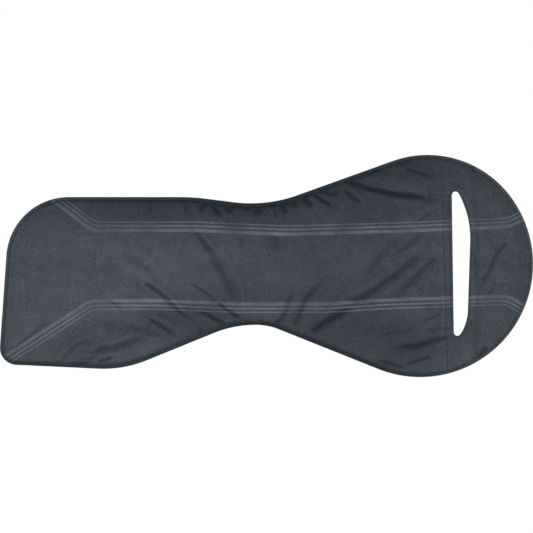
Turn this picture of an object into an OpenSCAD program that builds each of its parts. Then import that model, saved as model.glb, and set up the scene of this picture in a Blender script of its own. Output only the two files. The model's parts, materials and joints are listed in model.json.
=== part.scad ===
// Cloth cover for a bicycle's chain, chainring and rear gears, lying flat and empty.
// X runs along the cover towards the round end, Y across it, Z up from the back panel.

/* [Outline] */
// Length from the square end to the round end
cover_length = 680; // [640:5:740]
// Radius of the lower half of the round end, over the chainring
round_low_r = 144; // [138:1:150]
// Radius of the upper half of the round end
round_up_r = 132; // [124:1:134]
// Distance from the round end's tip back to the waist
waist_back = 360; // [340:5:380]
// Height of the waist's upper edge above the middle line
waist_up = 80; // [74:1:84]
// Radius of the waist's upper edge
waist_up_r = 175; // [150:5:190]
// Depth of the waist's lower edge below the middle line
waist_down = 75; // [68:1:82]
// Radius of the waist's lower edge towards the square end
waist_square_r = 140; // [110:2:150]
// Radius of the waist's lower edge towards the round end
waist_round_r = 80; // [64:2:100]
// Height of the straight top edge above the middle line
top_edge = 88; // [86:1:94]
// Radius of the big corner beside the rear gears
gear_corner_r = 80; // [64:2:84]
// How far the end edge leans in towards the big corner
end_lean = 8; // [0:1:14]
// Depth of the small corner below the middle line
low_corner = 126; // [118:1:130]
// Radius of the small corner
low_corner_r = 22; // [14:1:28]
// Depth of the belly below the middle line
belly = 131; // [130:1:138]
// Radius of the belly
belly_r = 148; // [130:2:156]
// Distance from the square end to the middle of the belly
belly_in = 132; // [122:2:140]

/* [Crank slot] */
// Length of the slot that the crank arm passes through
slot_length = 184; // [170:1:195]
// Width of the slot at its widest
slot_width = 24; // [21:1:28]
// Distance from the round end's tip to the slot's nearer edge
slot_in = 80; // [72:1:90]
// Radius of the slot's two ends
slot_tip_r = 5; // [4:0.5:6]
// Height of the slot's widest place above the middle line
slot_wide_up = 35; // [25:1:42]

/* [Cloth] */
// Thickness of one layer of cloth
cloth = 0.8; // [0.6:0.1:1.2]
// Width of the cloth turned in at every edge
hem_w = 12; // [12:0.5:14]
// Distance from an edge to its row of stitches
stitch_in = 3.5; // [3:0.5:4.5]
// Room between the two panels in the middle
pocket = 3.6; // [2.8:0.2:3.8]
// Height of the creases at the waist
crease = 0.9; // [0:0.1:1.2]
// Width of the facing strip behind the slot
facing_w = 43; // [40:1:48]

/* [Closure] */
// Length of each piece of hook or loop tape
tape_length = 60; // [40:5:70]
// Width of the hook and loop tape
tape_w = 8; // [6:1:8]
// Thickness of one piece of tape, pressed into the other
tape_t = 1; // [0.8:0.1:1.2]

/* [Printed stripes] */
// Height of both stripes from the middle line
stripe_y = 49; // [44:1:54]
// Width of the broad band, on the side of the middle line
broad_band = 4.4; // [3.6:0.2:5]
// Width of the medium band
medium_band = 2.9; // [2:0.1:3.4]
// Width of the fine band
fine_band = 1.9; // [1.4:0.1:2.2]
// Gap between two bands
band_gap = 2.2; // [1.6:0.1:2.6]
// Thickness of the print
print_t = 0.15; // [0.1:0.05:0.25]

/* [Hidden] */

end_x = cover_length / 2;
cloth_color = "#454e55";
facing_color = "#3a4249";
print_color = "#6d6e77";
tape_color = "#202326";

// Angle at which the round end changes from its lower to its upper radius
round_join = 38;
round_dr = round_low_r - round_up_r;
round_low_c = [end_x - round_low_r, round_dr * (1 - sin(round_join)) / 2];
round_up_c = round_low_c + round_dr * [cos(round_join), sin(round_join)];

waist_x = end_x - waist_back;
// The lower edge is narrowest a little nearer the round end than the upper one
waist_low_x = waist_x + 6;
shoulder_r = 300;
// Straight run between the waist's upper curve and the shoulder's curve
shoulder_run = 6;
shoulder_reach = waist_up_r + shoulder_r;
shoulder_x = waist_x - shoulder_run
    - sqrt(pow(shoulder_reach, 2) - pow(shoulder_reach - (top_edge - waist_up), 2));

// A pulley is [x, y, r]: the outline is a belt round them all. Where r is negative the belt
// passes on the pulley's inner side, and the outline curves in.
OUTLINE = [
    [round_low_c.x, round_low_c.y, round_low_r],
    [round_up_c.x, round_up_c.y, round_up_r],
    [waist_x, waist_up + waist_up_r, -waist_up_r],
    [shoulder_x, top_edge - shoulder_r, shoulder_r],
    [-end_x + end_lean + gear_corner_r, top_edge - gear_corner_r, gear_corner_r],
    [-end_x + low_corner_r, -low_corner + low_corner_r, low_corner_r],
    [-end_x + belly_in, -belly + belly_r, belly_r],
    [waist_low_x, -waist_down - waist_square_r, -waist_square_r],
    [waist_low_x, -waist_down - waist_round_r, -waist_round_r]
];
// First pulley of the stretch that is left open for the chain
open_from = 5;
// The straight stretches that carry the closure, by the pulley that each one leaves
TAPE_RUNS = [5, 6, 8];

slot_right = end_x - slot_in;
slot_left = slot_right - slot_width;
slot_top = slot_wide_up + 60;
slot_bottom = slot_top - slot_length;
// How far the slot's straight edge leans in at the lower end
slot_lean = 2.5;
// Height above the lower end at which the slot starts to close
slot_close = 34;
// How far the closing curve starts inside the widest place
slot_slim = 3;

// Radius of the circle that touches a line and, from inside it, an end circle of radius r
// that lies a height h along the line and e away from it
function closing_r(h, e, r) = (h * h + e * e - r * r) / (2 * (e - r));

slot_up_h = slot_top - slot_tip_r - slot_wide_up;
slot_up_r = closing_r(slot_up_h, slot_width - slot_tip_r, slot_tip_r);
slot_down_e = slot_width - slot_slim - slot_lean - slot_tip_r;
slot_down_r = closing_r(slot_close - slot_tip_r, slot_down_e, slot_tip_r);
SLOT = [
    [slot_left + slot_lean + slot_tip_r, slot_bottom + slot_tip_r, slot_tip_r],
    [slot_right - slot_slim - slot_down_r, slot_bottom + slot_close, slot_down_r],
    [slot_right - slot_up_r, slot_wide_up, slot_up_r],
    [slot_left + slot_tip_r, slot_top - slot_tip_r, slot_tip_r]
];

facing_x = (slot_left + slot_right) / 2;

// Longest step between two points of an outline, and largest turn
point_step = 16;
slot_step = 16;
point_turn = 10;

function sum(v, i = 0) = i < len(v) ? v[i] + sum(v, i + 1) : 0;
function half_turn(a) = a > 180 ? a - 360 : a < -180 ? a + 360 : a;
function smooth(t) = let (u = min(1, max(0, t))) u * u * (3 - 2 * u);
function along(a, b, t) = a + (b - a) * t;

// Direction of the outward normal on the straight stretch from pulley a to pulley b
function side_angle(a, b) =
    let (d = [b.x - a.x, b.y - a.y])
    atan2(d.y, d.x) - acos(min(1, max(-1, (a[2] - b[2]) / norm(d))));

// Points of a belt, each as [x, y, normal x, normal y, place], where place counts the
// pulleys passed: the whole part is the pulley's number, and the half point is where its
// arc ends and its straight stretch begins
function belt(pulleys, step) = [
    for (i = [0:len(pulleys) - 1])
        let (n = len(pulleys),
             p = pulleys[i],
             q = pulleys[(i + 1) % n],
             a0 = side_angle(pulleys[(i + n - 1) % n], p),
             turn = half_turn(side_angle(p, q) - a0),
             a1 = a0 + turn,
             arc = abs(p[2] * turn) * PI / 180,
             arcs = max(2, ceil(arc / step), ceil(abs(turn) / point_turn)),
             u = [cos(a1), sin(a1)],
             start = [p.x, p.y] + p[2] * u,
             stop = [q.x, q.y] + q[2] * u,
             runs = max(1, ceil(norm(stop - start) / step)))
        each concat(
            [for (j = [0:arcs]) let (a = a0 + turn * j / arcs)
                [p.x + p[2] * cos(a), p.y + p[2] * sin(a), cos(a), sin(a), i + j / arcs / 2]],
            [for (j = [1:1:runs - 1]) let (c = along(start, stop, j / runs))
                [c.x, c.y, u.x, u.y, i + 0.5 + j / runs / 2]])
];

RIM = belt(OUTLINE, point_step);
SLOT_RIM = belt(SLOT, slot_step);

// The outline drawn in by a distance, or out by a negative one
function inset(rim, d) = [for (p = rim) [p.x - d * p[2], p.y - d * p[3]]];

// How far a place on the rim is inside the open stretch: 1 in it, 0 where the rim is sewn.
// It rises round the small corner, and falls along the round end's lower arc.
open_rise = [open_from - 0.25, open_from + 0.55];
open_fall = 0.31;
function openness(place) =
    place >= open_rise[0]
        ? smooth((place - open_rise[0]) / (open_rise[1] - open_rise[0]))
        : 1 - smooth(place / open_fall);

// Flat middle of the panels, an oval
oval_a = cover_length / 2 - 115;
oval_b = 38;
oval_x = -25;
function oval_point(p) =
    let (a = atan2(p.y / oval_b, (p.x - oval_x) / oval_a)) [oval_x + oval_a * cos(a), oval_b * sin(a)];

// The last ring that follows the rim, and the shares of the way from there to the oval
rim_zone = hem_w + 9;
SHARES = [0.16, 0.34, 0.55, 0.78, 1];

sewn = 2 * cloth;
lift = 2 * tape_t;
flat_top = 2 * cloth + pocket;
bead = 0.12;
groove = 0.5;

// Top of the front panel above the sewn edge, by the distance from the rim
function rim_rise(d) = lookup(d, [
    [0, -cloth], [0.6, -0.15], [stitch_in / 2, bead], [stitch_in, -groove],
    [stitch_in + 1.7, bead], [hem_w, 0.35], [hem_w + 1, 0.5], [rim_zone, 0.9]
]);
RIM_STEPS = [0, 0.6, stitch_in / 2, stitch_in, stitch_in + 1.7, hem_w, hem_w + 1, rim_zone];

// Creases of the empty cloth, as [from, to, half width, height in creases]
CREASES = [
    [[waist_x - 92, -38], [waist_x - 66, -64], 7, 1],
    [[waist_x - 62, -36], [waist_x - 34, -68], 7, 1.1],
    [[waist_x - 30, -34], [waist_x - 12, -66], 7, 0.9],
    [[waist_x + 52, -34], [waist_x + 30, -68], 7, 1.1],
    [[waist_x + 108, -44], [waist_x + 66, -82], 9, 1],
    [[waist_x - 58, 74], [waist_x - 34, 46], 8, 0.9],
    [[waist_x + 28, 72], [waist_x + 14, 48], 7, 0.8],
    [[waist_x + 90, 88], [waist_x + 190, 62], 12, 1.2],
    [[waist_x + 160, 118], [waist_x + 222, 100], 10, 1.1],
    [[waist_x + 240, 18], [waist_x + 160, -36], 14, 1.6],
    [[waist_x + 222, -88], [waist_x + 150, -112], 12, 1.3],
    [[-end_x + 64, -112], [-end_x + 128, -90], 12, 1.2],
    [[-end_x + 158, -92], [-end_x + 216, -72], 9, 1]
];
function crease_height(p, c) =
    let (run = c[1] - c[0],
         l = norm(run),
         t = ((p - c[0]) * run) / (l * l),
         off = norm(p - along(c[0], c[1], min(1, max(0, t)))) / c[2])
    off < 2.4 ? c[3] * exp(-off * off) : 0;
function creases(p) = crease * sum([for (c = CREASES) crease_height(p, c)]);

// One ring of the front panel's top, at a distance from the rim or a share of the way in
function top_ring(d, rim = RIM) = [
    for (p = rim) let (q = [p.x - d * p[2], p.y - d * p[3]])
        [q.x, q.y, sewn + sewn + rim_rise(d) + lift * openness(p[4])
            + smooth((d - stitch_in) / (rim_zone - stitch_in)) * creases(q)]
];
function inner_ring(share, rim = RIM) = [
    for (p = rim)
        let (q = [p.x - rim_zone * p[2], p.y - rim_zone * p[3]],
             c = along(q, oval_point(q), share),
             z = sewn + sewn + rim_rise(rim_zone) + lift * openness(p[4]))
        [c.x, c.y, along(z, flat_top, smooth(share)) + (1 - smooth(share * 1.1 - 0.1)) * creases(c)]
];
function lowered(ring, h) = [for (p = ring) [p.x, p.y, p.z - h]];
function at_height(ring, f) = [for (i = [0:len(ring) - 1]) [ring[i].x, ring[i].y, f[i]]];

// A closed solid through rings with the same number of points, capped at both ends. The
// quads are split along one diagonal up to the ring numbered fold, and along the other
// after it, so that a surface and its copy underneath are split alike.
module ring_solid(rings, fold) {
    n = len(rings[0]);
    last = len(rings) - 1;
    points = [for (r = rings) each r];
    polyhedron(points, concat(
        [[for (j = [n - 1:-1:0]) j]],
        [for (k = [0:last - 1], j = [0:n - 1])
            let (a = k * n + j, b = k * n + (j + 1) % n)
            each k < fold
                ? [[a, b, a + n], [b, b + n, a + n]]
                : [[a, b, b + n], [a, b + n, a + n]]],
        [[for (j = [0:n - 1]) last * n + j]]));
}
function reversed(v) = [for (i = [len(v) - 1:-1:0]) v[i]];

// Top of the front panel from the oval out to a distance from the rim
function top_rings(steps, rim = RIM) = concat(
    [for (s = reversed(SHARES)) inner_ring(s, rim)],
    [for (d = reversed(steps)) top_ring(d, rim)]);

// The turned-in hem's flat underside, which lies on the other panel's hem or on the tapes
under_z = [for (p = RIM) sewn + lift * openness(p[4])];
// Where one layer ends and the hem's second layer begins
inside_hem = [for (d = RIM_STEPS) if (d > hem_w) d];

module front_cloth() {
    top = top_rings(RIM_STEPS);
    single = [for (d = reversed(inside_hem)) top_ring(d)];
    hem = [for (d = [hem_w, 0.4]) at_height([for (q = inset(RIM, d)) [q.x, q.y]], under_z)];
    under = concat([for (s = reversed(SHARES)) lowered(inner_ring(s), cloth)],
                   [for (r = single) lowered(r, cloth)], hem);
    ring_solid(concat(top, reversed(under)), len(top));
}

// A thin layer on part of the front panel: it follows the top from height a to height b
// over it, between the oval and the given distances from one stretch of the rim
module on_front(a, b, steps, stretch) {
    rows = top_rings(steps, stretch);
    m = len(rows);
    n = len(stretch);
    under = m * n;
    points = concat([for (r = rows) each lowered(r, -b)], [for (r = rows) each lowered(r, -a)]);
    edge = concat([for (j = [0:n - 1]) j], [for (k = [1:m - 1]) k * n + n - 1],
                  [for (j = [n - 2:-1:0]) (m - 1) * n + j], [for (k = [m - 2:-1:1]) k * n]);
    polyhedron(points, concat(
        [for (k = [0:m - 2], j = [0:n - 2]) let (c = k * n + j)
            each [[c, c + 1, c + n], [c + 1, c + n + 1, c + n],
                  [under + c, under + c + n, under + c + 1],
                  [under + c + 1, under + c + n, under + c + n + 1]]],
        [for (i = [0:len(edge) - 1]) let (c = edge[i], e = edge[(i + 1) % len(edge)])
            each [[c, under + e, e], [c, under + c, under + e]]]));
}

// Stretches of the rim over the stripes and round the slot, wider than what lies there
spare = 20;
UPPER_RIM = [for (p = RIM) if (p.y > -spare) p];
LOWER_RIM = concat([for (p = RIM) if (p[4] > open_from - 1 && p.y < spare) p],
                   [for (p = RIM) if (p[4] < 1 && p.y < spare) p]);
ROUND_RIM = concat([for (p = RIM) if (p[4] > open_from && p.x > facing_x - 4 * facing_w) p],
                   [for (p = RIM) if (p[4] < open_from && p.x > facing_x - 4 * facing_w) p]);

module slot_prism(grow, height) {
    translate([0, 0, -height])
        linear_extrude(2 * height) polygon(inset(SLOT_RIM, -grow));
}
through = 20;

module front_panel() {
    color(cloth_color) difference() {
        front_cloth();
        slot_prism(0, through);
    }
}

module back_panel() {
    color(cloth_color) difference() {
        union() {
            linear_extrude(cloth) polygon(inset(RIM, 0));
            translate([0, 0, cloth]) linear_extrude(cloth) difference() {
                polygon(inset(RIM, 0.3));
                polygon(inset(RIM, hem_w));
            }
        }
        slot_prism(0, through);
    }
}

// Strip of cloth behind the slot, from hem to hem, leaning with the slot
facing_slip = 0.5;
module facing_shape() {
    reach = round_low_r;
    intersection() {
        polygon([
            [facing_x - facing_w / 2 + 3, -reach], [facing_x + facing_w / 2, -reach],
            [facing_x + facing_w / 2, reach], [facing_x - facing_w / 2 - 3, reach]
        ]);
        polygon(inset(RIM, hem_w + 1 + facing_slip));
    }
}

module front_slot_facing() {
    color(facing_color) difference() {
        intersection() {
            on_front(-2 * cloth, -cloth, inside_hem, ROUND_RIM);
            linear_extrude(through) facing_shape();
        }
        slot_prism(0, through);
    }
}

module back_slot_facing() {
    color(facing_color) difference() {
        translate([0, 0, cloth]) linear_extrude(cloth) facing_shape();
        slot_prism(0, through);
    }
}

// Middle lines of the stripes, as [x, y, radius of the bend there]
UPPER_LINE = [
    [-end_x + 60, 95, 0], [-end_x + 120, stripe_y + 1, 24], [-end_x + 250, stripe_y + 1, 200],
    [waist_x + 44, stripe_y - 4, 300], [end_x - 170, stripe_y, 300],
    [end_x - 31, stripe_y + 6, 22], [end_x + 3, stripe_y + 24, 0]
];
LOWER_LINE = [
    [-end_x - 6, -129, 0], [-end_x + 117, -stripe_y, 24], [-end_x + 204, -stripe_y, 200],
    [waist_x - 20, -stripe_y - 4, 300], [waist_x + 100, -stripe_y - 4, 300],
    [end_x - 188, -stripe_y + 1, 200], [end_x - 34, -stripe_y + 6, 22], [end_x + 6, -stripe_y - 16, 0]
];

// The line drawn to one side by a distance, with its bends rounded
function offset_line(line, d) = [
    for (i = [0:len(line) - 1])
        let (p = [line[i].x, line[i].y],
             back = i > 0 ? p - [line[i - 1].x, line[i - 1].y] : [line[1].x, line[1].y] - p,
             on = i < len(line) - 1 ? [line[i + 1].x, line[i + 1].y] - p : back,
             a0 = atan2(back.y, back.x),
             turn = half_turn(atan2(on.y, on.x) - a0),
             r = line[i][2],
             side = turn < 0 ? -1 : 1,
             u = back / norm(back),
             start = p - u * r * tan(abs(turn) / 2),
             c = start + side * r * [-u.y, u.x],
             n = r > 0 ? max(2, ceil(abs(turn) / 6)) : 0)
        each r > 0
            ? [for (j = [0:n]) let (a = a0 + turn * j / n)
                c + (side * r - d) * [sin(a), -cos(a)]]
            : [p + d * [-u.y, u.x]]
];

// One printed band between two distances from the stripe's middle line
module band_shape(line, a, b) {
    polygon(concat(offset_line(line, a), reversed(offset_line(line, b))));
}

stripe_w = broad_band + medium_band + fine_band + 2 * band_gap;
// Print stops short of the cut at the slot
print_margin = 0.3;

// side is 1 where the fine band is on the upper side and -1 where it is on the lower side
module stripe(line, side, stretch) {
    top = side * stripe_w / 2;
    edges = [
        [0, fine_band],
        [fine_band + band_gap, fine_band + band_gap + medium_band],
        [stripe_w - broad_band, stripe_w]
    ];
    color(print_color) difference() {
        intersection() {
            on_front(0, print_t, [for (d = RIM_STEPS) if (d > 0) d], stretch);
            linear_extrude(through)
                for (e = edges) band_shape(line, top - side * e[0], top - side * e[1]);
        }
        slot_prism(print_margin, through);
    }
}

module upper_stripe() { stripe(UPPER_LINE, 1, UPPER_RIM); }
module lower_stripe() { stripe(LOWER_LINE, -1, LOWER_RIM); }

// A piece of tape on the hem, in the middle of one straight stretch of the open edge
tape_edge = (hem_w - tape_w) / 2;
module tape(run, z) {
    p = OUTLINE[run];
    q = OUTLINE[(run + 1) % len(OUTLINE)];
    a = side_angle(p, q);
    u = [cos(a), sin(a)];
    middle = along([p.x, p.y] + p[2] * u, [q.x, q.y] + q[2] * u, 0.5);
    color(tape_color) translate([middle.x, middle.y, z]) rotate(a)
        translate([-tape_edge - tape_w, -tape_length / 2, 0])
            cube([tape_w, tape_length, tape_t]);
}

module hook_tape(i) { tape(TAPE_RUNS[i], sewn); }
module loop_tape(i) { tape(TAPE_RUNS[i], sewn + tape_t); }

front_panel();
back_panel();
front_slot_facing();
back_slot_facing();
upper_stripe();
lower_stripe();
hook_tape(0);  // hook_tape_1
hook_tape(1);  // hook_tape_2
hook_tape(2);  // hook_tape_3
loop_tape(0);  // loop_tape_1
loop_tape(1);  // loop_tape_2
loop_tape(2);  // loop_tape_3
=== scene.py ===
import json
import math

import bpy
import numpy as np
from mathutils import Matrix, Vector
from mathutils.bvhtree import BVHTree
from mathutils.geometry import delaunay_2d_cdt
from mathutils.kdtree import KDTree

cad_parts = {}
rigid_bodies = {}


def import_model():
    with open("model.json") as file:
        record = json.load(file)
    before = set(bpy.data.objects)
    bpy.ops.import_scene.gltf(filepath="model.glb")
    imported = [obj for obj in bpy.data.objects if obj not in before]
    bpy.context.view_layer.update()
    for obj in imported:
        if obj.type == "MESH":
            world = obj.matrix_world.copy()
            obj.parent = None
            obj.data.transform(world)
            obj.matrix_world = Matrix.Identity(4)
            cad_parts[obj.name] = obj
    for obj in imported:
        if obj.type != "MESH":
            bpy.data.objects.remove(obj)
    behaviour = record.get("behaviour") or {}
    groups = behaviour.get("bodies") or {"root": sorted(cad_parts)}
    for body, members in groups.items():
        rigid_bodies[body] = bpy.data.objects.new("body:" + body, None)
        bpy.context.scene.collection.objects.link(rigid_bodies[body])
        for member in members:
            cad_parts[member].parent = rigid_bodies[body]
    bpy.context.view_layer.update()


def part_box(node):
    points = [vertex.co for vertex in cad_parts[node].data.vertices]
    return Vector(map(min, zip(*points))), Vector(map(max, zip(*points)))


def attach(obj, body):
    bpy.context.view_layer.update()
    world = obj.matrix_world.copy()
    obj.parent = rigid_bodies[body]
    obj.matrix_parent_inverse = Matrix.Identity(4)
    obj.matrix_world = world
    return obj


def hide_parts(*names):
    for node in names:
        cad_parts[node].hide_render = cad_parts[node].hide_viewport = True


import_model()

# Lengths below are in millimetres. Meshes are turned into metres as they are made.
MM = 0.001
front_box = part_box("front_panel")
END_X = front_box[1].x / MM
PHOTO_PX = 533

# Camera: straight above the cover, which fills the width of the picture
COVER_PX = 534.3
CAMERA_Y = -0.6
LENS = 120
SENSOR = 36


def add_camera():
    width = 2 * END_X * MM * PHOTO_PX / COVER_PX
    data = bpy.data.cameras.new("camera")
    data.lens = LENS
    data.sensor_width = SENSOR
    camera = bpy.data.objects.new("camera", data)
    camera.location = (0, CAMERA_Y * MM, width * LENS / SENSOR + front_box[1].z)
    bpy.context.scene.collection.objects.link(camera)
    bpy.context.scene.camera = camera


add_camera()

# Outline: the round end's two arcs, the upper edge with its waist, the square end's two
# corners, the lower edge's long curve, and the waist below
ROUND_LOW_R = 144
ROUND_UP_R = 132
ROUND_JOIN = math.radians(38)
TOP_EDGE, WAIST_UP = 88, 80
WAIST_X = END_X - 360
WAIST_UP_R, SHOULDER_R, SHOULDER_BACK = 175, 300, 6
TOP_CORNER_R, TOP_CORNER_IN = 80, 8
LOW_CORNER_R, LOW_CORNER_Y = 22, -126
LOW_CURVE_R, LOW_CURVE_X, LOW_CURVE_Y = 148, 132, -131
WAIST_LOW_X = WAIST_X + 6
WAIST_DOWN = 75
WAIST_LEFT_R, WAIST_RIGHT_R = 140, 80


def outline_pulleys():
    """The outline is a belt round these pulleys, each (x, y, radius). A negative radius
    means that the outline curves in."""
    dr = ROUND_LOW_R - ROUND_UP_R
    low_c = (END_X - ROUND_LOW_R, dr * (1 - math.sin(ROUND_JOIN)) / 2)
    up_c = (low_c[0] + dr * math.cos(ROUND_JOIN), low_c[1] + dr * math.sin(ROUND_JOIN))
    reach = WAIST_UP_R + SHOULDER_R
    drop = reach - (TOP_EDGE - WAIST_UP)
    shoulder_x = WAIST_X - SHOULDER_BACK - math.sqrt(reach**2 - drop**2)
    return [
        (*low_c, ROUND_LOW_R),
        (*up_c, ROUND_UP_R),
        (WAIST_X, WAIST_UP + WAIST_UP_R, -WAIST_UP_R),
        (shoulder_x, TOP_EDGE - SHOULDER_R, SHOULDER_R),
        (-END_X + TOP_CORNER_IN + TOP_CORNER_R, TOP_EDGE - TOP_CORNER_R, TOP_CORNER_R),
        (-END_X + LOW_CORNER_R, LOW_CORNER_Y + LOW_CORNER_R, LOW_CORNER_R),
        (-END_X + LOW_CURVE_X, LOW_CURVE_Y + LOW_CURVE_R, LOW_CURVE_R),
        (WAIST_LOW_X, -WAIST_DOWN - WAIST_LEFT_R, -WAIST_LEFT_R),
        (WAIST_LOW_X, -WAIST_DOWN - WAIST_RIGHT_R, -WAIST_RIGHT_R),
    ]


# The slot: a straight left side, small round ends and a bowed right side
SLOT_RIGHT = END_X - 80
SLOT_LEFT = SLOT_RIGHT - 24
SLOT_TOP, SLOT_BOTTOM = 95, -89
SLOT_END_R, SLOT_LOW_IN = 5, 7.5
SLOT_BOW_R, SLOT_BOW_Y = 120, 35
SLOT_TURN_R, SLOT_TURN_IN, SLOT_TURN_UP = 58.7, 3, 34


def slot_pulleys():
    return [
        (SLOT_LEFT + SLOT_LOW_IN, SLOT_BOTTOM + SLOT_END_R, SLOT_END_R),
        (SLOT_RIGHT - SLOT_TURN_IN - SLOT_TURN_R, SLOT_BOTTOM + SLOT_TURN_UP, SLOT_TURN_R),
        (SLOT_RIGHT - SLOT_BOW_R, SLOT_BOW_Y, SLOT_BOW_R),
        (SLOT_LEFT + SLOT_END_R, SLOT_TOP - SLOT_END_R, SLOT_END_R),
    ]


def side_angle(a, b):
    dx, dy = b[0] - a[0], b[1] - a[1]
    share = max(-1, min(1, (a[2] - b[2]) / math.hypot(dx, dy)))
    return math.atan2(dy, dx) - math.acos(share)


def half_turn(a):
    return (a + math.pi) % (2 * math.pi) - math.pi


# Topstitching: the length of a stitch, and how many of a seam's points it covers
PITCH = 4.3
STITCH_POINTS = 3
SEAM_STEP = PITCH / STITCH_POINTS
# Spacing of the points that a belt is first drawn with, and the distance from it within
# which its nearest point's normal gives the exact distance
BELT_STEP = 0.2
NEAR_BELT = 20


class Belt:
    """Evenly spaced points round a belt, with outward normals, run lengths and places."""

    def __init__(self, pulleys):
        n = len(pulleys)
        pts, normals, places = [], [], []
        for i, p in enumerate(pulleys):
            q = pulleys[(i + 1) % n]
            a0 = side_angle(pulleys[i - 1], p)
            turn = half_turn(side_angle(p, q) - a0)
            arcs = max(2, int(abs(p[2] * turn) / BELT_STEP))
            for j in range(arcs + 1):
                a = a0 + turn * j / arcs
                pts.append((p[0] + p[2] * math.cos(a), p[1] + p[2] * math.sin(a)))
                normals.append((math.cos(a), math.sin(a)))
                places.append(i + 0.5 * j / arcs)
            u = (math.cos(a0 + turn), math.sin(a0 + turn))
            start = np.array(pts[-1])
            stop = np.array((q[0] + q[2] * u[0], q[1] + q[2] * u[1]))
            runs = int(np.linalg.norm(stop - start) / BELT_STEP)
            for j in range(1, runs):
                pts.append(tuple(start + (stop - start) * j / runs))
                normals.append(u)
                places.append(i + 0.5 + 0.5 * j / runs)
        pts, normals, places = np.array(pts), np.array(normals), np.array(places)
        gaps = np.linalg.norm(np.roll(pts, -1, 0) - pts, axis=1)
        at = np.concatenate([[0], np.cumsum(gaps)])
        self.length = at[-1]
        count = STITCH_POINTS * int(round(self.length / PITCH))
        self.run = np.arange(count) * self.length / count
        self.pts = self.evened(at, pts)
        out = self.evened(at, normals)
        self.normals = out / np.linalg.norm(out, axis=1)[:, None]
        self.places = np.interp(self.run, at, np.append(places, n))
        self.tree = KDTree(count)
        for k, p in enumerate(self.pts):
            self.tree.insert((p[0], p[1], 0), k)
        self.tree.balance()

    def evened(self, at, values):
        closed = np.concatenate([values, values[:1]])
        return np.stack([np.interp(self.run, at, closed[:, i]) for i in (0, 1)], 1)

    def inset(self, d):
        return self.pts - d * self.normals

    def nearest(self, xy):
        """Distance inwards from the belt (negative outside) and nearest point's number."""
        found = [self.tree.find((p[0], p[1], 0))[1:] for p in xy]
        k = np.array([f[0] for f in found])
        away = np.array([f[1] for f in found])
        side = ((self.pts[k] - xy) * self.normals[k]).sum(1)
        far = np.where(side >= 0, away, -away)
        return np.where(away < NEAR_BELT, side, far), k


RIM = Belt(outline_pulleys())
SLOT = Belt(slot_pulleys())
SEAM_Y = np.arange(-141, 141, SEAM_STEP)


def smooth(t):
    t = np.clip(t, 0, 1)
    return t * t * (3 - 2 * t)


def bump_at(x, middle, half):
    return np.exp(-(((x - middle) / half) ** 2))


# Thickness of the cloth, of a hem and of the air between two pieces, width of a hem and of
# its turned edge, and where the rows of stitches lie. The closure lifts the open lower edge
# from the place OPEN_FROM round the rim to the place OPEN_TO.
CLOTH = 0.8
SEWN = 2 * CLOTH
AIR = 0.05
HEM_W = 12
BEAD_W = 1.5
STITCH_IN = 3.5
SLOT_STITCH_IN = 2.4
LIFT, LIFT_FROM, LIFT_REACH = 2.0, 6, 55
OPEN_FROM, OPEN_RISE, OPEN_TO = 4.75, 0.8, 0.31


def openness(place):
    """1 along the open lower edge, where the closure lies between the hems, else 0."""
    rise = smooth((place - OPEN_FROM) / OPEN_RISE)
    fall = 1 - smooth(place / OPEN_TO)
    return np.where(place >= OPEN_FROM, rise, np.where(place < 1, fall, 0))


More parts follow.
